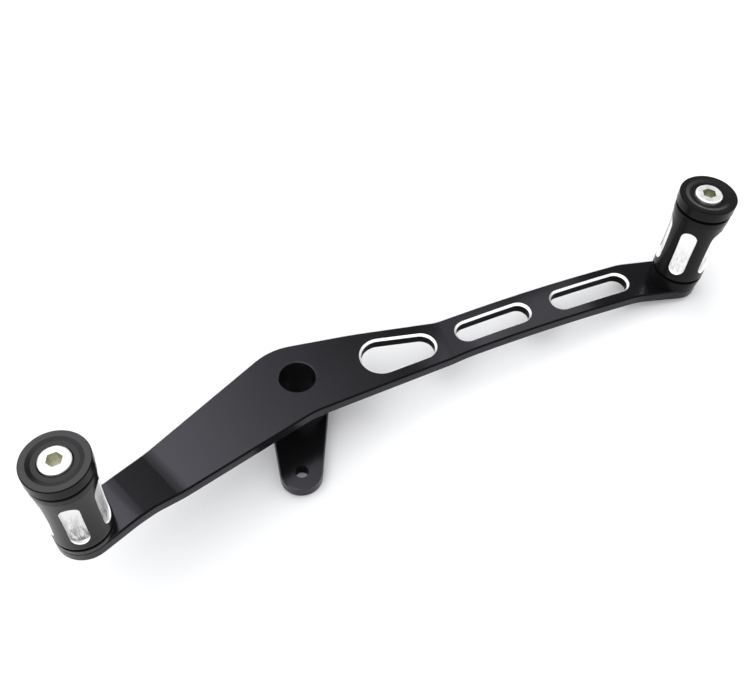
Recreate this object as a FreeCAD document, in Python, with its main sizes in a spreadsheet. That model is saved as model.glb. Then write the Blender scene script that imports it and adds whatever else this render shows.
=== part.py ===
import FreeCAD, Part
import math
import os

import Sketcher
from FreeCAD import Placement, Rotation, Vector

# Heel-and-toe gear shift lever. Millimetres. The pivot bore runs along Z through the origin,
# z = 0 is the underside of the plate round the bore, the pegs stand up along +Z,
# X runs parallel to the line from the short arm's peg to the long arm's peg.

os.makedirs("parts", exist_ok=True)
doc = FreeCAD.newDocument("shift_lever")

# ---------------------------------------------------------------- dimensions
DIMS = [
    # lever plate
    ("plate_thk", 5.4), ("plan_depth", 40.0), ("strip_width", 140.0),
    ("end_rad", 12.1), ("short_end_rad", 13.0), ("short_x", -115.4), ("long_x", 207.5), ("peg_y", -32.6),
    ("short_rise", 3.4), ("long_rise", 4.4),
    ("short_bend_a", 18.4), ("short_bend_b", 41.5), ("short_bend_rad", 45.0),
    ("long_bend_a", 77.0), ("long_bend_b", 183.0), ("long_slope_in", 0.098),
    ("long_slope_out", 0.0151), ("long_bend_rad", 40.0), ("arch_rad", 700.0),
    ("thread_rad", 4.0), ("bore_seat_rad", 10.0),
    ("slot_chamfer", 1.05), ("edge_chamfer", 0.8),
    # windows through the plate: end centres and end radii
    ("win1_ax", 42.6), ("win1_ay", -7.0), ("win1_ar", 10.95),
    ("win1_bx", 63.55), ("win1_by", -10.7), ("win1_br", 8.15),
    ("win2_ax", 89.2), ("win2_ay", -13.7), ("win2_bx", 117.7), ("win2_by", -16.85),
    ("win3_ax", 142.9), ("win3_ay", -19.95), ("win3_bx", 175.9), ("win3_by", -23.15),
    ("win_rad", 6.8),
    # hub, bush and linkage arm
    ("hub_rad", 15.4), ("hub_len", 17.5), ("arm_thk", 6.4), ("arm_chamfer", 0.5),
    ("arm_tip_x", -15.6), ("arm_tip_y", -35.8), ("arm_tip_rad", 10.3),
    ("link_x", -15.6), ("link_y", -36.4), ("link_rad", 3.3),
    ("bush_rad", 9.98), ("bush_bore_rad", 9.0), ("bush_len", 29.3), ("bush_break", 0.35),
    # pegs, heights measured from the running gap under the sleeve
    ("short_gap", 4.0), ("long_gap", 7.85), ("gap_half", 0.45), ("collar_drop", 1.25),
    ("collar_top_rad", 13.05), ("short_foot_rad", 13.0), ("long_foot_rad", 12.3), ("clear_rad", 4.2),
    ("lower_washer_thk", 1.45), ("upper_washer_thk", 1.8), ("washer_rad", 11.0), ("washer_bore", 7.3),
    ("spindle_rad", 7.0), ("sleeve_bore", 7.06), ("sleeve_cbore", 9.5), ("spigot_rad", 9.2),
    ("lip_rad", 13.07), ("waist_rad", 240.0), ("flange_rad", 13.6),
    ("flange_foot_rad", 13.4),
    ("sleeve_top", 41.9), ("flange_len", 3.3), ("cap_foot", 43.9), ("cap_top", 49.7), ("cap_rad", 14.0),
    ("spigot_foot", 38.9), ("cbore_foot", 38.4), ("seat_z", 42.6),
    ("dish_rad", 11.1), ("dish_slope", 1.9), ("dish_step", 0.45), ("well_rad", 6.95), ("well_z", 49.2),
    ("face_count", 5.0), ("face_floor", 11.35), ("face_half", 3.65), ("face_taper", 25.0),
    ("face_low", 9.0), ("face_high", 29.1), ("face_plane", 14.2),
    ("short_phase", 59.5), ("long_phase", 14.7),
    ("head_rad", 6.5), ("head_top", 50.6), ("shank_rad", 3.95),
    ("hex_af", 6.0), ("hex_depth", 4.8),
    ("short_screw", 55.0), ("long_screw", 60.0),
]
sheet = doc.addObject("Spreadsheet::Sheet", "dims")
D = {}
for i, (alias, value) in enumerate(DIMS):
    sheet.set("A%d" % (i + 1), alias)
    sheet.set("B%d" % (i + 1), repr(value))
    sheet.setAlias("B%d" % (i + 1), alias)
    D[alias] = value
doc.recompute()
for alias in D:
    D[alias] = float(sheet.get(alias))


# ---------------------------------------------------------------- helpers
def bind(obj, prop, text):
    obj.setExpression(prop, text)


def plane(body, role):
    for feature in body.Origin.OriginFeatures:
        if feature.Role == role:
            return feature
    raise ValueError(role)


def new_sketch(body, name, role, offset=None):
    sk = body.newObject("Sketcher::SketchObject", name)
    sk.AttachmentSupport = [(plane(body, role), "")]
    sk.MapMode = "FlatFace"
    if offset is not None:
        sk.AttachmentOffset = offset
    return sk


def v2(p):
    return Vector(p[0], p[1], 0)


def rounded_path(points, radii):
    """Lines and arcs along an open path of points, each inner corner rounded by its radius."""
    out, start = [], Vector(*points[0], 0)
    for i in range(1, len(points) - 1):
        p, a, b = v2(points[i]), v2(points[i - 1]), v2(points[i + 1])
        u, w = (a - p).normalize(), (b - p).normalize()
        half = math.acos(max(-1, min(1, u.dot(w)))) / 2
        reach = radii[i] / math.tan(half)
        p1, p2 = p + u * reach, p + w * reach
        mid_dir = (u + w).normalize()
        centre = p + mid_dir * (radii[i] / math.sin(half))
        mid = centre - mid_dir * radii[i]
        out.append(("line", start, p1))
        out.append(("arc", p1, mid, p2))
        start = p2
    out.append(("line", start, v2(points[-1])))
    return out


def offset_strip(points, radii, thk):
    """Closed outline of a strip of even thickness whose underside follows the path."""
    low = rounded_path(points, radii)
    n = len(points)
    normals = []
    for i in range(n - 1):
        dx, dz = points[i + 1][0] - points[i][0], points[i + 1][1] - points[i][1]
        length = math.hypot(dx, dz)
        normals.append((-dz / length, dx / length))
    top_pts = [(points[0][0] + normals[0][0] * thk, points[0][1] + normals[0][1] * thk)]
    top_rad = [0]
    for i in range(1, n - 1):
        a, b = normals[i - 1], normals[i]
        k = thk / (1 + a[0] * b[0] + a[1] * b[1])
        top_pts.append((points[i][0] + (a[0] + b[0]) * k, points[i][1] + (a[1] + b[1]) * k))
        turn = a[0] * b[1] - a[1] * b[0]
        top_rad.append(radii[i] - thk if turn > 0 else radii[i] + thk)
    top_pts.append((points[-1][0] + normals[-1][0] * thk, points[-1][1] + normals[-1][1] * thk))
    top_rad.append(0)
    high = rounded_path(top_pts, top_rad)
    back = []
    for seg in reversed(high):
        back.append((seg[0],) + tuple(reversed(seg[1:])))
    end, home = v2(top_pts[-1]), v2(points[0])
    return low + [("line", v2(points[-1]), end)] + back + [("line", v2(top_pts[0]), home)]


def add_segments(sk, segs):
    """Adds a closed run of lines and arcs to a sketch, joined end to end and held where they are."""
    first = sk.GeometryCount
    for seg in segs:
        if seg[0] == "line":
            sk.addGeometry(Part.LineSegment(seg[1], seg[2]), False)
        else:
            sk.addGeometry(Part.Arc(seg[1], seg[2], seg[3]), False)
    for g in range(first, sk.GeometryCount):
        sk.addConstraint(Sketcher.Constraint("Block", g))


def hull_two(ax, ay, ar, bx, by, br):
    """Outline round two circles: two arcs and their outer tangent lines."""
    dx, dy = bx - ax, by - ay
    dist = math.hypot(dx, dy)
    ux, uy = dx / dist, dy / dist
    s = (ar - br) / dist
    c = math.sqrt(1 - s * s)
    n1 = (ux * s - uy * c, uy * s + ux * c)
    n2 = (ux * s + uy * c, uy * s - ux * c)
    pa1 = Vector(ax + ar * n1[0], ay + ar * n1[1], 0)
    pb1 = Vector(bx + br * n1[0], by + br * n1[1], 0)
    pa2 = Vector(ax + ar * n2[0], ay + ar * n2[1], 0)
    pb2 = Vector(bx + br * n2[0], by + br * n2[1], 0)
    far_a = Vector(ax - ar * ux, ay - ar * uy, 0)
    far_b = Vector(bx + br * ux, by + br * uy, 0)
    return [("line", pa1, pb1), ("arc", pb1, far_b, pb2), ("line", pb2, pa2), ("arc", pa2, far_a, pa1)]


def pad_body(name, role, build, length, placement=None, midplane=False):
    body = doc.addObject("PartDesign::Body", name)
    sk = new_sketch(body, name + "_sketch", role)
    build(sk)
    pad = body.newObject("PartDesign::Pad", name + "_pad")
    pad.Profile = sk
    sk.Visibility = False
    pad.Midplane = midplane
    bind(pad, "Length", length)
    if placement is not None:
        body.Placement = placement
    doc.recompute()
    return body


def turned_body(name, corners, arc=None):
    """A body turned about Z from a closed run of (radius, height) corners given as expressions.
    arc = (index of the side that is a hollow arc, alias of its radius)."""
    body = doc.addObject("PartDesign::Body", name)
    sk = new_sketch(body, name + "_sketch", "XZ_Plane")
    pts = [(sum_of(r), sum_of(z)) for r, z in corners]
    n = len(pts)
    for i in range(n):
        a, b = Vector(*pts[i], 0), Vector(*pts[(i + 1) % n], 0)
        if arc and arc[0] == i:
            # hollow side: the arc's centre lies outside the body, and the arc runs from b round to a
            rad = D[arc[1]]
            chord = (b - a).Length
            out = Vector((b - a).y, -(b - a).x, 0).normalize()
            centre = (a + b) / 2 + out * math.sqrt(rad * rad - chord * chord / 4)
            angle = lambda p: math.atan2((p - centre).y, (p - centre).x) % (2 * math.pi)
            sk.addGeometry(Part.ArcOfCircle(Part.Circle(centre, Vector(0, 0, 1), rad), angle(b), angle(a)), False)
        else:
            sk.addGeometry(Part.LineSegment(a, b), False)

    def ends(i):
        """The sketch's numbers for a side's first and last point."""
        return (2, 1) if arc and arc[0] == i else (1, 2)

    for i in range(n):
        j = (i + 1) % n
        sk.addConstraint(Sketcher.Constraint("Coincident", i, ends(i)[1], j, ends(j)[0]))
    for i in range(n):
        r, z = corners[i]
        pos = ends(i)[0]
        if r == "0":
            sk.addConstraint(Sketcher.Constraint("PointOnObject", i, pos, -2))
        else:
            c = sk.addConstraint(Sketcher.Constraint("DistanceX", -1, 1, i, pos, pts[i][0]))
            sk.setExpression("Constraints[%d]" % c, tied(r))
        if z == "0":
            sk.addConstraint(Sketcher.Constraint("PointOnObject", i, pos, -1))
        else:
            c = sk.addConstraint(Sketcher.Constraint("DistanceY", -1, 1, i, pos, pts[i][1]))
            sk.setExpression("Constraints[%d]" % c, tied(z))
    if arc:
        c = sk.addConstraint(Sketcher.Constraint("Radius", arc[0], D[arc[1]]))
        sk.setExpression("Constraints[%d]" % c, tied(arc[1]))
    rev = body.newObject("PartDesign::Revolution", name + "_turn")
    rev.Profile = sk
    rev.ReferenceAxis = (sk, ["V_Axis"])
    rev.Angle = 360
    sk.Visibility = False
    doc.recompute()
    return body


def words(text):
    """Splits a sum such as 'cap_top - 0.4' into its signed terms."""
    terms, sign = [], 1
    for word in text.split():
        if word == "+":
            sign = 1
        elif word == "-":
            sign = -1
        else:
            terms.append((sign, word))
            sign = 1
    return terms


def sum_of(text):
    total = 0.0
    for sign, word in words(text):
        total += sign * (D[word] if word in D else float(word))
    return total


def tied(text):
    """The same sum as a spreadsheet expression."""
    out = []
    for k, (sign, word) in enumerate(words(text)):
        piece = "dims." + word if word in D else word
        out.append(("-" if sign < 0 else ("+" if k else "")) + " " + piece)
    return " ".join(out).strip()


def node(obj, label):
    obj.Label = label
    return obj


# ---------------------------------------------------------------- lever plate
# Plan outline: two arms that meet at the bore, each ending in a round about its peg.
SX, LX, PY, ER, SR = D["short_x"], D["long_x"], D["peg_y"], D["end_rad"], D["short_end_rad"]


def tangent_point(cx, cy, rad, px, py, side):
    """Where a line from (px, py) touches the circle; side +1 leaves the centre on its right."""
    dx, dy = cx - px, cy - py
    dist = math.hypot(dx, dy)
    ang = math.atan2(dy, dx) + side * math.asin(rad / dist)
    reach = math.sqrt(dist * dist - rad * rad)
    return (px + reach * math.cos(ang), py + reach * math.sin(ang))


front = [(-85.2, -36.6), (-0.9, -22.1), (83.0, -24.85), (181.7, -36.2)]
front_rad = [40.0, 40.0, 120.0, 40.0]
back = [(185.2, -12.6), (78.6, -0.55), (36.0, 11.9), (-4.9, 21.65), (-77.0, -6.3), (-101.5, -15.85)]
back_rad = [30.0, 40.0, 250.0, 32.0, 60.0, 12.0]
t_fl = tangent_point(SX, PY, SR, *front[0], 1)
t_fr = tangent_point(LX, PY, ER, *front[-1], -1)
t_br = tangent_point(LX, PY, ER, *back[0], 1)
t_bl = tangent_point(SX, PY, SR, *back[-1], -1)


def plan_segments():
    f = rounded_path([t_fl] + front + [t_fr], [0] + front_rad + [0])
    b = rounded_path([t_br] + back + [t_bl], [0] + back_rad + [0])
    right_mid = Vector(LX + ER * math.cos(math.radians(-8.9)), PY + ER * math.sin(math.radians(-8.9)), 0)
    left_mid = Vector(SX - SR * math.cos(math.radians(15.8)), PY - SR * math.sin(math.radians(15.8)), 0)
    return (f + [("arc", v2(t_fr), right_mid, v2(t_br))] + b + [("arc", v2(t_bl), left_mid, v2(t_fl))])


W1 = hull_two(D["win1_ax"], D["win1_ay"], D["win1_ar"], D["win1_bx"], D["win1_by"], D["win1_br"])
W2 = hull_two(D["win2_ax"], D["win2_ay"], D["win_rad"], D["win2_bx"], D["win2_by"], D["win_rad"])
W3 = hull_two(D["win3_ax"], D["win3_ay"], D["win_rad"], D["win3_bx"], D["win3_by"], D["win_rad"])


def hole(sk, x, y, rad_alias):
    g = sk.addGeometry(Part.Circle(Vector(x, y, 0), Vector(0, 0, 1), D[rad_alias]), False)
    c = sk.addConstraint(Sketcher.Constraint("Radius", g, D[rad_alias]))
    sk.setExpression("Constraints[%d]" % c, "dims." + rad_alias)
    return g


def shrunk(win, by):
    """Window outline drawn in by an even margin: the walls below the bevel."""
    ax, ay, ar, bx, by_, br = win
    return hull_two(ax, ay, ar - by, bx, by_, br - by)


def plan_sketch(sk):
    add_segments(sk, plan_segments())
    m = D["slot_chamfer"]
    wr = D["win_rad"]
    for win in ((D["win1_ax"], D["win1_ay"], D["win1_ar"], D["win1_bx"], D["win1_by"], D["win1_br"]),
                (D["win2_ax"], D["win2_ay"], wr, D["win2_bx"], D["win2_by"], wr),
                (D["win3_ax"], D["win3_ay"], wr, D["win3_bx"], D["win3_by"], wr)):
        add_segments(sk, shrunk(win, m))
    hole(sk, 0, 0, "bore_seat_rad")
    hole(sk, SX, PY, "thread_rad")
    hole(sk, LX, PY, "thread_rad")


plan = pad_body("lever_plan", "XY_Plane", plan_sketch, "dims.plan_depth", Placement(Vector(0, 0, -10), Rotation()))

# Side view of each arm: an even strip, bent near its end.
a_short = math.atan2(-PY, -SX)
a_long = math.atan2(PY, LX)


def short_sketch(sk):
    r = D["short_bend_rad"]
    pts = [(-30, D["short_rise"]), (D["short_bend_a"], D["short_rise"]), (D["short_bend_b"], 0), (math.hypot(SX, PY) + 20, 0)]
    add_segments(sk, offset_strip(pts, [0, r, r, 0], D["plate_thk"]))


def long_sketch(sk):
    a, b, rise = D["long_bend_a"], D["long_bend_b"], D["long_rise"]
    up, down = D["long_slope_in"], D["long_slope_out"]
    crest = (rise + down * b + up * a) / (up + down)
    pts = [(-20, 0), (a, 0), (crest, up * (crest - a)), (b, rise), (math.hypot(LX, PY) + 30, rise)]
    r = D["long_bend_rad"]
    add_segments(sk, offset_strip(pts, [0, r, D["arch_rad"], 100.0, 0], D["plate_thk"]))


short_strip = pad_body("short_strip", "XZ_Plane", short_sketch, "dims.strip_width",
                       Placement(Vector(SX, PY, 0), Rotation(Vector(0, 0, 1), math.degrees(a_short))), True)
long_strip = pad_body("long_strip", "XZ_Plane", long_sketch, "dims.strip_width",
                      Placement(Vector(0, 0, 0), Rotation(Vector(0, 0, 1), math.degrees(a_long))), True)
bind(short_strip, "Placement.Base.x", "dims.short_x")
bind(short_strip, "Placement.Base.y", "dims.peg_y")

strip = doc.addObject("Part::Fuse", "lever_strip")
strip.Base, strip.Tool = short_strip, long_strip
strip.Refine = True
doc.recompute()
blank = doc.addObject("Part::Common", "lever_blank")
blank.Base, blank.Tool = strip, plan
blank.Refine = True
doc.recompute()


def inside(win, x, y, margin):
    ax, ay, ar, bx, by, br = win
    dx, dy = bx - ax, by - ay
    t = max(0, min(1, ((x - ax) * dx + (y - ay) * dy) / (dx * dx + dy * dy)))
    return math.hypot(x - ax - t * dx, y - ay - t * dy) < (ar + (br - ar) * t) + margin


def plate_top(x, y):
    """Height of the plate's upper face above a plan point, read from the blank."""
    line = Part.makeLine(Vector(x, y, -30), Vector(x, y, 60))
    hit = blank.Shape.common(line)
    return hit.BoundBox.ZMax if hit.Edges else None


WINS = [(D["win1_ax"], D["win1_ay"], D["win1_ar"], D["win1_bx"], D["win1_by"], D["win1_br"]),
        (D["win2_ax"], D["win2_ay"], D["win_rad"], D["win2_bx"], D["win2_by"], D["win_rad"]),
        (D["win3_ax"], D["win3_ay"], D["win_rad"], D["win3_bx"], D["win3_by"], D["win_rad"])]
top_faces = [f for f in blank.Shape.Faces if f.normalAt(*[sum(f.ParameterRange[k:k + 2]) / 2 for k in (0, 2)]).z > 0.9]
top_edges = []
for n_edge, edge in enumerate(blank.Shape.Edges, 1):
    owners = [f for f in top_faces if any(edge.isSame(e) for e in f.Edges)]
    if len(owners) != 1:
        continue
    mid = edge.valueAt((edge.FirstParameter + edge.LastParameter) / 2)
    if any(inside(w, mid.x, mid.y, 0.5) for w in WINS):
        top_edges.append((n_edge, D["slot_chamfer"], D["slot_chamfer"]))
    elif math.hypot(mid.x, mid.y) < D["bore_seat_rad"] + 1:
        continue
    elif min(math.hypot(mid.x - SX, mid.y - PY), math.hypot(mid.x - LX, mid.y - PY)) < D["thread_rad"] + 1:
        continue
    else:
        top_edges.append((n_edge, D["edge_chamfer"], D["edge_chamfer"]))
plate = doc.addObject("Part::Chamfer", "lever_plate")
plate.Base = blank
plate.Edges = top_edges
doc.recompute()
nodes = [node(plate, "lever_plate")]

# ---------------------------------------------------------------- hub, bush and linkage arm
hub_out = doc.addObject("Part::Cylinder", "hub_out")
bind(hub_out, "Radius", "dims.hub_rad")
bind(hub_out, "Height", "dims.hub_len")
bind(hub_out, "Placement.Base.z", "-dims.hub_len")
hub_in = doc.addObject("Part::Cylinder", "hub_in")
bind(hub_in, "Radius", "dims.bore_seat_rad")
bind(hub_in, "Height", "dims.hub_len + 2")
bind(hub_in, "Placement.Base.z", "-dims.hub_len - 1")
hub = doc.addObject("Part::Cut", "hub_spacer")
hub.Base, hub.Tool = hub_out, hub_in
nodes.append(node(hub, "hub_spacer"))


def arm_sketch(sk):
    add_segments(sk, hull_two(0, 0, D["hub_rad"], D["arm_tip_x"], D["arm_tip_y"], D["arm_tip_rad"]))
    hole(sk, 0, 0, "bore_seat_rad")
    hole(sk, D["link_x"], D["link_y"], "link_rad")


arm_blank = pad_body("arm_blank", "XY_Plane", arm_sketch, "dims.arm_thk")
bind(arm_blank, "Placement.Base.z", "-dims.hub_len - dims.arm_thk")
doc.recompute()
arm = doc.addObject("Part::Chamfer", "linkage_arm")
arm.Base = arm_blank
rim = []
for n_edge, edge in enumerate(arm_blank.Shape.Edges, 1):
    box = edge.BoundBox
    if box.ZLength > 1e-6:
        continue
    mid = edge.valueAt((edge.FirstParameter + edge.LastParameter) / 2)
    if math.hypot(mid.x, mid.y) < D["hub_rad"] + 0.5 or edge.Length < 2 * math.pi * (D["link_rad"] + 0.5):
        continue
    rim.append((n_edge, D["arm_chamfer"], D["arm_chamfer"]))
arm.Edges = rim
doc.recompute()
nodes.append(node(arm, "linkage_arm"))

bush = turned_body("pivot_bush", [
    ("bush_bore_rad + bush_break", "0"), ("bush_rad", "0"), ("bush_rad", "bush_len"),
    ("bush_bore_rad + bush_break", "bush_len"), ("bush_bore_rad", "bush_len - bush_break"),
    ("bush_bore_rad", "bush_break")])
bind(bush, "Placement.Base.z", "-dims.hub_len - dims.arm_thk")
nodes.append(node(bush, "pivot_bush"))


# ---------------------------------------------------------------- pegs
def peg(end):
    gap, rise, px = end + "_gap", end + "_rise", end + "_x"
    foot = "dims.%s + dims.plate_thk" % rise
    level = foot + " + dims." + gap

    def stand(body, height):
        bind(body, "Placement.Base.x", "dims." + px)
        bind(body, "Placement.Base.y", "dims.peg_y")
        bind(body, "Placement.Base.z", height)

    # collar under the peg, standing on the plate and slightly wider at its top
    collar = turned_body(end + "_collar", [
        ("clear_rad", "0"), (end + "_foot_rad", "0"), ("collar_top_rad", gap + " - collar_drop - 0.15"),
        ("collar_top_rad - 0.15", gap + " - collar_drop"), ("clear_rad", gap + " - collar_drop")])
    stand(collar, foot)
    nodes.append(node(collar, end + "_base_collar"))

    # thrust washers, set back so that a dark line shows at each end of the sleeve
    for which, base in (("lower", level + " - dims.collar_drop"), ("upper", level + " + dims.cap_foot - dims.upper_washer_thk")):
        out = doc.addObject("Part::Cylinder", "%s_%s_washer_out" % (end, which))
        bind(out, "Radius", "dims.washer_rad")
        bind(out, "Height", "dims.%s_washer_thk" % which)
        cut = doc.addObject("Part::Cylinder", "%s_%s_washer_in" % (end, which))
        bind(cut, "Radius", "dims.washer_bore" if which == "lower" else "dims.spigot_rad + 0.05")
        bind(cut, "Height", "dims.%s_washer_thk + 2" % which)
        for cyl, drop in ((out, ""), (cut, " - 1")):
            bind(cyl, "Placement.Base.x", "dims." + px)
            bind(cyl, "Placement.Base.y", "dims.peg_y")
            bind(cyl, "Placement.Base.z", base + drop)
        washer = doc.addObject("Part::Cut", "%s_%s_washer" % (end, which))
        washer.Base, washer.Tool = out, cut
        nodes.append(node(washer, "%s_%s_washer" % (end, which)))

    # spindle clamped between collar and cap
    spindle = turned_body(end + "_spindle", [
        ("clear_rad", "0 - collar_drop"), ("spindle_rad", "0 - collar_drop"), ("spindle_rad", "spigot_foot"), ("clear_rad", "spigot_foot")])
    stand(spindle, level)
    nodes.append(node(spindle, end + "_spindle"))

    # sleeve: waisted, with a lip at its foot and a straight flange at its top
    sleeve = turned_body(end + "_sleeve", [
        ("sleeve_bore", "gap_half"), ("lip_rad - 0.25", "gap_half"), ("lip_rad", "gap_half + 0.25"),
        ("lip_rad", "gap_half + 1"), ("flange_foot_rad", "sleeve_top - flange_len - 0.2"),
        ("flange_rad", "sleeve_top - flange_len"), ("flange_rad", "sleeve_top - 0.3"), ("flange_rad - 0.3", "sleeve_top"),
        ("sleeve_cbore", "sleeve_top"), ("sleeve_cbore", "cbore_foot"), ("sleeve_bore", "cbore_foot")],
        arc=(3, "waist_rad"))
    cut_sk = new_sketch(sleeve, end + "_window_sketch", "XZ_Plane", Placement(Vector(0, 0, D["face_plane"]), Rotation()))
    reach = D["face_plane"] - D["face_floor"]
    half = D["face_half"] + reach * math.tan(math.radians(D["face_taper"]))
    add_segments(cut_sk, hull_two(0, D["face_low"], half, 0, D["face_high"], half))
    bind(cut_sk, "AttachmentOffset.Base.z", "dims.face_plane")
    pocket = sleeve.newObject("PartDesign::Pocket", end + "_window")
    pocket.Profile = cut_sk
    pocket.Type = 0
    bind(pocket, "Length", "dims.face_plane - dims.face_floor")
    bind(pocket, "TaperAngle", "-dims.face_taper * 1 deg")
    cut_sk.Visibility = False
    doc.recompute()
    ring = sleeve.newObject("PartDesign::PolarPattern", end + "_windows")
    ring.Originals = [pocket]
    ring.Axis = (plane(sleeve, "Z_Axis"), [""])
    ring.Angle = 360
    bind(ring, "Occurrences", "dims.face_count")
    sleeve.Tip = ring
    doc.recompute()
    sleeve.Placement = Placement(Vector(), Rotation(Vector(0, 0, 1), D[end + "_phase"]))
    stand(sleeve, level)
    bind(sleeve, "Placement.Rotation.Angle", "dims.%s_phase * 1 deg" % end)
    nodes.append(node(sleeve, end + "_peg_sleeve"))

    # end cap: flat rim, shallow dish, well for the screw head, spigot down into the sleeve
    cap = turned_body(end + "_cap", [
        ("clear_rad", "spigot_foot"), ("spigot_rad", "spigot_foot"), ("spigot_rad", "cap_foot"),
        ("cap_rad - 0.3", "cap_foot"), ("cap_rad", "cap_foot + 0.3"), ("cap_rad", "cap_top - 0.4"),
        ("cap_rad - 0.4", "cap_top"), ("dish_rad", "cap_top"), ("dish_rad - dish_slope", "cap_top - dish_step"),
        ("well_rad + 0.25", "well_z"), ("well_rad", "well_z - 0.25"), ("well_rad", "seat_z"), ("clear_rad", "seat_z")])
    stand(cap, level)
    nodes.append(node(cap, end + "_end_cap"))

    # socket head screw with a hexagon socket
    tip = "seat_z - %s_screw" % end
    stock = turned_body(end + "_screw_stock", [
        ("0", tip), ("shank_rad - 0.8", tip), ("shank_rad", tip + " + 0.8"), ("shank_rad", "seat_z"),
        ("head_rad", "seat_z"), ("head_rad", "head_top - 0.6"), ("head_rad - 0.6", "head_top"), ("0", "head_top")])
    stand(stock, level)
    hexagon = doc.addObject("Part::Prism", end + "_hexagon")
    hexagon.Polygon = 6
    bind(hexagon, "Circumradius", "dims.hex_af / 2 / cos(30 deg)")
    bind(hexagon, "Height", "dims.hex_depth + 1")
    bind(hexagon, "Placement.Base.x", "dims." + px)
    bind(hexagon, "Placement.Base.y", "dims.peg_y")
    bind(hexagon, "Placement.Base.z", level + " + dims.head_top - dims.hex_depth")
    screw = doc.addObject("Part::Cut", end + "_screw")
    screw.Base, screw.Tool = stock, hexagon
    nodes.append(node(screw, end + "_cap_screw"))


peg("short")
peg("long")
doc.recompute()

# ---------------------------------------------------------------- check and write
for obj in doc.Objects:
    bad = [s for s in obj.State if s in ("Invalid", "Error")]
    if bad:
        raise RuntimeError("%s: %s" % (obj.Name, bad))
for obj in nodes:
    if obj.Shape.isNull() or not obj.Shape.isValid() or not obj.Shape.Solids:
        raise RuntimeError("no valid solid: " + obj.Label)
    obj.Shape.exportStep("parts/%s.step" % obj.Label)
    box = obj.Shape.BoundBox
    print("%-22s solids %d volume %9.1f  x %.1f..%.1f y %.1f..%.1f z %.2f..%.2f" % (
        obj.Label, len(obj.Shape.Solids), obj.Shape.Volume, box.XMin, box.XMax, box.YMin, box.YMax, box.ZMin, box.ZMax))
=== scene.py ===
"""Heel-and-toe gear shift lever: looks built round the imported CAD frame. Metres, same frame as the CAD."""
import math

import bpy
from mathutils import Matrix, Vector

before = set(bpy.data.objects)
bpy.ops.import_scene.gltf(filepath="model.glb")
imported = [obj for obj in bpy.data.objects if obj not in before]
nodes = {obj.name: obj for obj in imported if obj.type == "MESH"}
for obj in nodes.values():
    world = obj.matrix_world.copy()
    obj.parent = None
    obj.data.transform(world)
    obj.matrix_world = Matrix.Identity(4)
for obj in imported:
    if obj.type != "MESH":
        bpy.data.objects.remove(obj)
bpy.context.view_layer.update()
MM = 0.001

# places repeated from the CAD, millimetres
SHORT = (-115.4, -32.6)
LONG = (207.5, -32.6)
SLOTS = [
    (42.6, -7.0, 10.95, 63.55, -10.7, 8.15),
    (89.2, -13.7, 6.8, 117.7, -16.85, 6.8),
    (142.9, -19.95, 6.8, 175.9, -23.15, 6.8),
]


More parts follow.
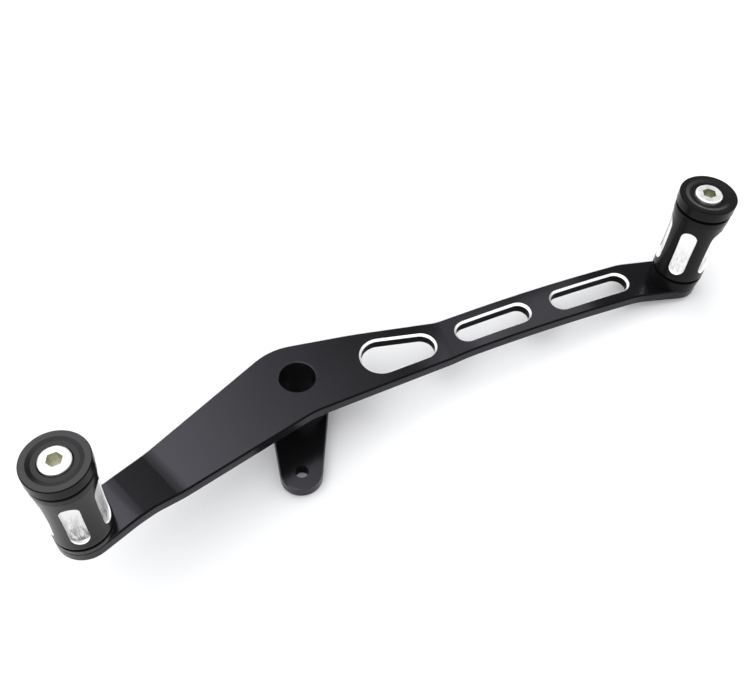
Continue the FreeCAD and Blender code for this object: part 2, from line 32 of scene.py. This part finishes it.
# ------------------------------------------------------------------ material helpers
class Mat:
    """A node material with small helpers for building its network."""

    def __init__(self, name):
        self.m = bpy.data.materials.new(name)
        self.m.use_nodes = True
        self.t = self.m.node_tree
        self.p = self.t.nodes["Principled BSDF"]
        self.coord = self.t.nodes.new("ShaderNodeTexCoord").outputs["Object"]

    def set(self, **kw):
        for k, v in kw.items():
            self.p.inputs[k.replace("_", " ")].default_value = v

    def node(self, kind, **props):
        n = self.t.nodes.new(kind)
        for k, v in props.items():
            setattr(n, k, v)
        return n

    def link(self, a, b):
        self.t.links.new(a, b)

    def mapped(self, scale, rot=(0, 0, 0), loc=(0, 0, 0)):
        n = self.node("ShaderNodeMapping")
        n.inputs["Scale"].default_value = scale
        n.inputs["Rotation"].default_value = rot
        n.inputs["Location"].default_value = loc
        self.link(self.coord, n.inputs["Vector"])
        return n.outputs["Vector"]

    def noise(self, scale, detail=2.0, rough=0.5, vector=None):
        n = self.node("ShaderNodeTexNoise")
        n.inputs["Scale"].default_value = scale
        n.inputs["Detail"].default_value = detail
        n.inputs["Roughness"].default_value = rough
        self.link(vector if vector is not None else self.coord, n.inputs["Vector"])
        return n.outputs["Fac"]

    def math(self, op, a, b=None, c=None):
        n = self.node("ShaderNodeMath", operation=op)
        for i, x in enumerate((a, b, c)):
            if x is None:
                continue
            if isinstance(x, (int, float)):
                n.inputs[i].default_value = x
            else:
                self.link(x, n.inputs[i])
        return n.outputs[0]

    def ramp(self, fac, stops):
        n = self.node("ShaderNodeValToRGB")
        e = n.color_ramp.elements
        while len(e) < len(stops):
            e.new(0.5)
        for el, (pos, col) in zip(e, stops):
            el.position = pos
            el.color = (*col, 1) if len(col) == 3 else col
        self.link(fac, n.inputs["Fac"])
        return n.outputs["Color"]

    def span(self, fac, lo, hi, a=0.0, b=1.0):
        n = self.node("ShaderNodeMapRange")
        n.inputs["From Min"].default_value = lo
        n.inputs["From Max"].default_value = hi
        n.inputs["To Min"].default_value = a
        n.inputs["To Max"].default_value = b
        self.link(fac, n.inputs["Value"])
        return n.outputs["Result"]

    def mix(self, fac, a, b):
        n = self.node("ShaderNodeMix", data_type="RGBA")
        for key, x in (("Factor", fac), ("A", a), ("B", b)):
            sock = [s for s in n.inputs if s.name == key and s.enabled][0]
            if isinstance(x, (int, float)):
                sock.default_value = x
            elif isinstance(x, tuple):
                sock.default_value = (*x, 1)
            else:
                self.link(x, sock)
        return [s for s in n.outputs if s.enabled][0]

    def bump(self, height, strength, distance):
        n = self.node("ShaderNodeBump")
        n.inputs["Strength"].default_value = strength
        n.inputs["Distance"].default_value = distance
        self.link(height, n.inputs["Height"])
        self.link(n.outputs["Normal"], self.p.inputs["Normal"])

    def edge(self, radius):
        """1 on sharp outer edges, 0 on flats."""
        b = self.node("ShaderNodeBevel", samples=6)
        b.inputs["Radius"].default_value = radius
        g = self.node("ShaderNodeNewGeometry")
        d = self.node("ShaderNodeVectorMath", operation="DOT_PRODUCT")
        self.link(b.outputs["Normal"], d.inputs[0])
        self.link(g.outputs["Normal"], d.inputs[1])
        return self.span(d.outputs["Value"], 0.995, 0.86)

    def axis_radius(self, cx, cy):
        """Distance from an upright axis through (cx, cy), metres."""
        s = self.node("ShaderNodeSeparateXYZ")
        self.link(self.coord, s.inputs[0])
        dx = self.math("SUBTRACT", s.outputs["X"], cx)
        dy = self.math("SUBTRACT", s.outputs["Y"], cy)
        return self.math("SQRT", self.math("ADD", self.math("MULTIPLY", dx, dx), self.math("MULTIPLY", dy, dy)))


def anodised(name, tone=0.008, rough=0.24, turned=None, shine=0.5, tint=(1.0, 0.985, 0.975)):
    """Satin black anodised aluminium: fine blasted grain, faint cloudiness, edges rubbed a little lighter.
    turned = (cx, cy): concentric turning marks about that axis."""
    m = Mat(name)
    cloud = m.noise(38.0, 3.0)
    grain = m.noise(2600.0, 2.0, 0.6)
    base = m.ramp(cloud, [(0.30, (tone * 0.86, tone * 0.86, tone * 0.92)), (0.70, (tone * 1.14, tone * 1.14, tone * 1.22))])
    speck = m.span(m.noise(900.0, 1.0), 0.66, 0.80)
    base = m.mix(m.math("MULTIPLY", speck, 0.35), base, (tone * 2.2, tone * 2.2, tone * 2.3))
    base = m.mix(m.math("MULTIPLY", m.edge(0.00035), 0.30), base, (0.02, 0.02, 0.021))
    m.link(base, m.p.inputs["Base Color"])
    rg = m.math("ADD", m.span(cloud, 0.3, 0.7, rough - 0.03, rough + 0.03), m.span(grain, 0.3, 0.7, -0.03, 0.03))
    height = grain
    if turned is not None:
        r = m.axis_radius(turned[0] * MM, turned[1] * MM)
        rings = m.math("SINE", m.math("MULTIPLY", r, 2 * math.pi / 0.00042))
        wobble = m.noise(700.0, 1.0)
        height = m.math("ADD", m.math("MULTIPLY", grain, 0.7), m.math("MULTIPLY", m.math("MULTIPLY", rings, wobble), 0.5))
    m.link(rg, m.p.inputs["Roughness"])
    m.bump(height, 0.07, 0.00006)
    m.set(Metallic=0.0)
    m.p.inputs["IOR"].default_value = 1.5
    m.p.inputs["Specular IOR Level"].default_value = shine
    m.p.inputs["Specular Tint"].default_value = (*tint, 1)
    return m.m


def deep(name, tone=0.0025, rough=0.5):
    """Deep matt black on broken edges and cut walls: painted shade for the dark reflections they show."""
    m = Mat(name)
    n = m.noise(1500.0, 2.0)
    m.link(m.ramp(n, [(0.3, (tone * 0.7,) * 3), (0.7, (tone * 1.3,) * 3)]), m.p.inputs["Base Color"])
    m.link(m.span(n, 0.3, 0.7, rough - 0.06, rough + 0.06), m.p.inputs["Roughness"])
    m.bump(n, 0.06, 0.00005)
    m.p.inputs["Specular IOR Level"].default_value = 0.06
    return m.m


def bare(name, along, rough=0.26, tone=0.90):
    """Freshly cut aluminium with faint cutter marks running across the given direction."""
    m = Mat(name)
    lines = m.noise(1.0, 3.0, 0.6, m.mapped(along))
    col = m.ramp(lines, [(0.25, (tone * 0.93, tone * 0.93, tone * 0.93)), (0.55, (tone, tone, tone * 0.995)), (0.85, (min(1, tone * 1.05),) * 3)])
    m.link(col, m.p.inputs["Base Color"])
    m.link(m.span(lines, 0.3, 0.7, rough - 0.05, rough + 0.05), m.p.inputs["Roughness"])
    m.bump(lines, 0.06, 0.00004)
    m.set(Metallic=1.0)
    return m.m


def window_floor(name, foot, head, tones):
    """Milled floor of a sleeve window: bright at the top, darker and streaked towards the foot, the darkening being
    painted shade for the shaded floor it reflects near the peg's base; heights in metres.
    """
    m = Mat(name)
    s = m.node("ShaderNodeSeparateXYZ")
    m.link(m.coord, s.inputs[0])
    low = m.span(s.outputs["Z"], head, foot)
    streak = m.noise(1.0, 3.0, 0.6, m.mapped((2000.0, 2000.0, 420.0)))
    blot = m.noise(1.0, 3.0, 0.6, m.mapped((700.0, 700.0, 200.0)))
    fac = m.math("MULTIPLY", low, m.math("ADD", m.span(streak, 0.35, 0.65, 0.25, 0.80), m.span(blot, 0.38, 0.60, -0.20, 0.65)))
    col = m.ramp(fac, [(p, (k, k * 0.99, k * 0.985)) for p, k in zip((0.05, 0.45, 0.95), tones)])
    m.link(col, m.p.inputs["Base Color"])
    m.link(m.span(streak, 0.3, 0.7, 0.50, 0.64), m.p.inputs["Roughness"])
    m.bump(streak, 0.08, 0.00004)
    m.set(Metallic=1.0)
    return m.m


def window_wall(name, cx, cy, painted_shade_tone):
    """Sloping wall of a sleeve window: white bare metal along the rim, duller towards the floor; the duller tone is
    painted shade.
    """
    m = Mat(name)
    lines = m.noise(1.0, 3.0, 0.6, m.mapped((1200.0, 1200.0, 260.0)))
    rim = m.span(m.axis_radius(cx * MM, cy * MM), 0.01205, 0.01240)
    low = m.ramp(lines, [(0.3, (painted_shade_tone * 0.9,) * 3), (0.7, (painted_shade_tone * 1.05,) * 3)])
    m.link(m.mix(rim, low, (0.97, 0.97, 0.97)), m.p.inputs["Base Color"])
    m.link(m.span(lines, 0.3, 0.7, 0.29, 0.39), m.p.inputs["Roughness"])
    m.bump(lines, 0.06, 0.00004)
    m.set(Metallic=1.0)
    return m.m


def socket(name, tone):
    """Inside of a screw's hexagon socket: slightly olive steel, darker than the head: painted shade in the recess."""
    m = Mat(name)
    n = m.noise(900.0, 3.0)
    m.link(m.ramp(n, [(0.3, (tone * 0.84, tone * 0.84, tone * 0.68)), (0.7, (tone * 1.16, tone * 1.16, tone * 0.96))]), m.p.inputs["Base Color"])
    m.link(m.span(n, 0.3, 0.7, 0.30, 0.44), m.p.inputs["Roughness"])
    m.bump(n, 0.10, 0.00004)
    m.set(Metallic=1.0)
    return m.m


def steel(name, cx, cy, tone=0.66, rough=0.24):
    """Turned stainless steel: fine concentric lathe rings, slightly warm."""
    m = Mat(name)
    r = m.axis_radius(cx * MM, cy * MM)
    rings = m.math("SINE", m.math("MULTIPLY", r, 2 * math.pi / 0.00030))
    cloud = m.noise(420.0, 3.0)
    col = m.ramp(cloud, [(0.3, (tone * 0.86, tone * 0.86, tone * 0.84)), (0.7, (tone * 1.08, tone * 1.08, tone * 1.06))])
    m.link(col, m.p.inputs["Base Color"])
    m.link(m.span(cloud, 0.3, 0.7, rough - 0.05, rough + 0.07), m.p.inputs["Roughness"])
    m.bump(m.math("ADD", m.math("MULTIPLY", rings, 0.5), cloud), 0.12, 0.00004)
    m.set(Metallic=1.0)
    return m.m


def polymer(name, tone, rough, shine=0.5):
    """Dark moulded polymer."""
    m = Mat(name)
    n = m.noise(1800.0, 2.0)
    m.link(m.ramp(n, [(0.3, (tone * 0.8,) * 3), (0.7, (tone * 1.2,) * 3)]), m.p.inputs["Base Color"])
    m.link(m.span(n, 0.3, 0.7, rough - 0.06, rough + 0.06), m.p.inputs["Roughness"])
    m.bump(n, 0.08, 0.00005)
    m.p.inputs["Specular IOR Level"].default_value = shine
    return m.m


def give(node, *mats):
    data = nodes[node].data
    data.materials.clear()
    for mat in mats:
        data.materials.append(mat)
    for poly in data.polygons:
        poly.material_index = 0


# ------------------------------------------------------------------ materials on the CAD nodes
COOL = (0.90, 0.875, 1.0)
plate_black = anodised("plate_anodised", 0.0040, 0.15, None, 0.55, COOL)
side_black = anodised("plate_side_anodised", 0.0040, 0.24, None, 0.21, COOL)
arm_black = anodised("arm_anodised", 0.0045, 0.20, None, 0.53, COOL)
slot_bare = bare("slot_bevel_bare", (900.0, 900.0, 5000.0), 0.42, 0.97)
edge_painted_shade = deep("edge_painted_shade")
give("lever_plate", plate_black, slot_bare, edge_painted_shade, side_black)
give("hub_spacer", arm_black)
give("linkage_arm", arm_black, anodised("arm_side_anodised", 0.0045, 0.26, None, 0.24, COOL), edge_painted_shade)
# the link hole's wall gets the deep black: painted shade inside the hole
for poly in nodes["linkage_arm"].data.polygons:
    if abs(poly.normal.z) < 0.3:
        c = poly.center / MM
        poly.material_index = 2 if math.hypot(c.x + 15.6, c.y + 36.4) < 4.0 else 1
give("pivot_bush", polymer("bush_polymer", 0.004, 0.42, 0.15), arm_black)
for poly in nodes["pivot_bush"].data.polygons:
    poly.material_index = 1 if poly.normal.z > 0.3 else 0


def in_slot(x, y, slot, margin):
    ax, ay, ar, bx, by, br = slot
    dx, dy = bx - ax, by - ay
    t = max(0.0, min(1.0, ((x - ax) * dx + (y - ay) * dy) / (dx * dx + dy * dy)))
    return math.hypot(x - ax - t * dx, y - ay - t * dy) < ar + (br - ar) * t + margin


# bright bare bevels round the slots; the slot walls below them and the broken edges round the outline get the deep
# black, painted shade for their dark reflections; outer sides, and broken edges near the pegs, get the side finish
for poly in nodes["lever_plate"].data.polygons:
    c = poly.center / MM
    cut = any(in_slot(c.x, c.y, s, 0.4) for s in SLOTS)
    peg = min(math.hypot(c.x - x, c.y - y) for x, y in (SHORT, LONG)) < 14.0
    if 0.35 < poly.normal.z < 0.93:
        poly.material_index = 1 if cut else (3 if peg else 2)
    elif abs(poly.normal.z) < 0.3:
        poly.material_index = 2 if cut else 3

washer = polymer("washer_polymer", 0.003, 0.7)
# shine of cap rim, sleeve and collar; window floor tones from head to foot, darker on the short peg: painted shade
PEGS = (("short", SHORT, 12.8, 0.09, 0.17, 0.24, (0.80, 0.56, 0.22)),
        ("long", LONG, 17.65, 0.12, 0.12, 0.05, (0.93, 0.84, 0.62)))
for end, (cx, cy), base, rim, skin, foot, tones in PEGS:
    turned = anodised(end + "_peg_anodised", 0.0045, 0.20, (cx, cy), 0.50, (1.0, 0.98, 1.0))
    give(end + "_base_collar", anodised(end + "_collar_anodised", 0.0045, 0.26, None, foot), edge_painted_shade)
    give(end + "_end_cap", turned, edge_painted_shade, anodised(end + "_rim_anodised", 0.0045, 0.24, None, rim),
         anodised(end + "_dish_anodised", 0.0045, 0.22, (cx, cy), 0.36, (1.0, 0.98, 1.0)))
    for piece in ("_base_collar", "_end_cap"):
        for poly in nodes[end + piece].data.polygons:
            c = poly.center / MM
            if math.hypot(c.x - cx, c.y - cy) < 12.2:
                # the shallow dish inside the cap's flat rim is a little duller
                if piece == "_end_cap" and poly.normal.z > 0.5 and c.z > base + 48.8 and math.hypot(c.x - cx, c.y - cy) < 11.0:
                    poly.material_index = 3
                continue
            # outer chamfers of collar and cap get the deep black: painted shade for the dark lines along the edges
            if 0.3 < poly.normal.z < 0.93:
                poly.material_index = 1
            elif piece == "_end_cap" and abs(poly.normal.z) < 0.3:
                poly.material_index = 2
    give(end + "_lower_washer", washer)
    give(end + "_upper_washer", washer)
    give(end + "_spindle", steel(end + "_spindle_steel", cx, cy, 0.5, 0.3))
    # socket steel painted darker than the head: painted shade in the recess, a little lighter on the short peg
    give(end + "_cap_screw", steel(end + "_screw_steel", cx, cy, 0.92, 0.48), socket(end + "_socket", 0.60 if end == "short" else 0.53))
    for poly in nodes[end + "_cap_screw"].data.polygons:
        c = poly.center / MM
        if math.hypot(c.x - cx, c.y - cy) < 3.4 and base + 45.0 < c.z < base + 50.55:
            poly.material_index = 1
    give(end + "_peg_sleeve", anodised(end + "_sleeve_anodised", 0.0045, 0.24, None, skin),
         window_wall(end + "_window_wall", cx, cy, tones[1]),
         window_floor(end + "_window_floor", (base + 3.0) * MM, (base + 30.0) * MM, tones))
    # flat window floors lie 11.35 mm from the peg's axis, the walls round them run out to the surface
    for poly in nodes[end + "_peg_sleeve"].data.polygons:
        c = poly.center / MM
        if not 3.0 < c.z - base < 36.0 or math.hypot(c.x - cx, c.y - cy) < 10.8:
            continue
        reach = poly.normal.x * (c.x - cx) + poly.normal.y * (c.y - cy)
        if abs(poly.normal.z) < 0.05 and abs(reach - 11.35) < 0.06:
            poly.material_index = 2
        elif reach < 11.2:
            poly.material_index = 1

# ------------------------------------------------------------------ floor, light, camera
scene = bpy.context.scene
EDGE = (13.2, -7.95)
UPHILL = Vector((0.857, -0.516)).normalized()


def floor_height(x, y):
    """The lever lies on the arm's edge and the long arm's screw, so the floor is a little tilted in this frame near it."""
    t = (x - EDGE[0]) * UPHILL.x + (y - EDGE[1]) * UPHILL.y
    lim = 230.0
    if abs(t) > lim:
        t = math.copysign(lim + 120.0 * math.tanh((abs(t) - lim) / 120.0), t)
    return -23.95 + 0.1348 * t


verts, faces = [], []
N, HALF = 120, 3000.0
grid = [math.copysign(abs(k / (N / 2)) ** 2.2 * HALF, k) for k in range(-N // 2, N // 2 + 1)]
for gy in grid:
    for gx in grid:
        verts.append((gx * MM, gy * MM, floor_height(gx, gy) * MM))
for j in range(N):
    for i in range(N):
        a = j * (N + 1) + i
        faces.append((a, a + 1, a + N + 2, a + N + 1))
mesh = bpy.data.meshes.new("studio_floor")
mesh.from_pydata(verts, [], faces)
mesh.polygons.foreach_set("use_smooth", [True] * len(faces))
floor = bpy.data.objects.new("studio_floor", mesh)
scene.collection.objects.link(floor)
fm = Mat("floor_white")
fm.p.inputs["Base Color"].default_value = (0.87, 0.87, 0.87, 1)
fm.set(Roughness=0.9)
fm.p.inputs["Specular IOR Level"].default_value = 0.1
mesh.materials.append(fm.m)

# A white tent: an even bright dome, a brighter soft panel high at the back and a wide one on the left, a darker
# opening behind on the right.
world = bpy.data.worlds.new("studio")
scene.world = world
world.use_nodes = True
wt = world.node_tree
sky = wt.nodes.new("ShaderNodeTexCoord").outputs["Generated"]


def towards(az, el):
    """Unit vector; az from +Y towards +X, el up from the XY plane, degrees."""
    a, e = math.radians(az), math.radians(el)
    return Vector((math.sin(a) * math.cos(e), math.cos(a) * math.cos(e), math.sin(e)))


def panel(az, el, inner, outer):
    """1 inside the inner angle about a direction, falling smoothly to 0 at the outer angle."""
    dot = wt.nodes.new("ShaderNodeVectorMath")
    dot.operation = "DOT_PRODUCT"
    wt.links.new(sky, dot.inputs[0])
    dot.inputs[1].default_value = towards(az, el)
    rng = wt.nodes.new("ShaderNodeMapRange")
    rng.interpolation_type = "SMOOTHSTEP"
    rng.inputs["From Min"].default_value = math.cos(math.radians(outer))
    rng.inputs["From Max"].default_value = math.cos(math.radians(inner))
    wt.links.new(dot.outputs["Value"], rng.inputs["Value"])
    return rng.outputs["Result"]


def wmath(op, a, b):
    n = wt.nodes.new("ShaderNodeMath")
    n.operation = op
    for i, x in enumerate((a, b)):
        if isinstance(x, (int, float)):
            n.inputs[i].default_value = x
        else:
            wt.links.new(x, n.inputs[i])
    return n.outputs[0]


DOME = 1.18
tent = wmath("SUBTRACT", DOME, wmath("MULTIPLY", panel(43, 47, 14.6, 25.0), DOME - 0.16))
tent = wmath("ADD", tent, wmath("MULTIPLY", panel(0, 62, 7, 22), 1.0))
tent = wmath("ADD", tent, wmath("MULTIPLY", panel(-105, 35, 15, 55), 0.85))
wt.links.new(tent, wt.nodes["Background"].inputs["Strength"])
wt.nodes["Background"].inputs["Color"].default_value = (0.99, 0.995, 1.01, 1)

# small soft card close above the long arm, out of the picture
card = bpy.data.lights.new("soft_card", "AREA")
card.shape = "RECTANGLE"
card.size, card.size_y = 0.14, 0.045
card.energy = 1.1 * math.pi * 0.14 * 0.045
cardob = bpy.data.objects.new("soft_card", card)
cardob.location = (0.220, 0.091, 0.200)
scene.collection.objects.link(cardob)

cam = bpy.data.cameras.new("camera")
cam.sensor_fit = "HORIZONTAL"
cam.sensor_width = 36.0
cam.lens = 923.71 / 750.0 * 36.0
cam.clip_start, cam.clip_end = 0.01, 50.0
cob = bpy.data.objects.new("camera", cam)
AZ, EL, ROLL = 0.5491, 0.9076, 0.0655
d = Vector((math.sin(AZ) * math.cos(EL), math.cos(AZ) * math.cos(EL), -math.sin(EL)))
r = Vector((math.cos(AZ), -math.sin(AZ), 0.0))
u = r.cross(d)
r2 = r * math.cos(ROLL) + u * math.sin(ROLL)
u2 = -r * math.sin(ROLL) + u * math.cos(ROLL)
m = Matrix((r2, u2, -d)).transposed().to_4x4()
m.translation = Vector((-106.38, -244.41, 368.47)) * MM
cob.matrix_world = m
scene.collection.objects.link(cob)
scene.camera = cob
scene.view_settings.view_transform = "Standard"
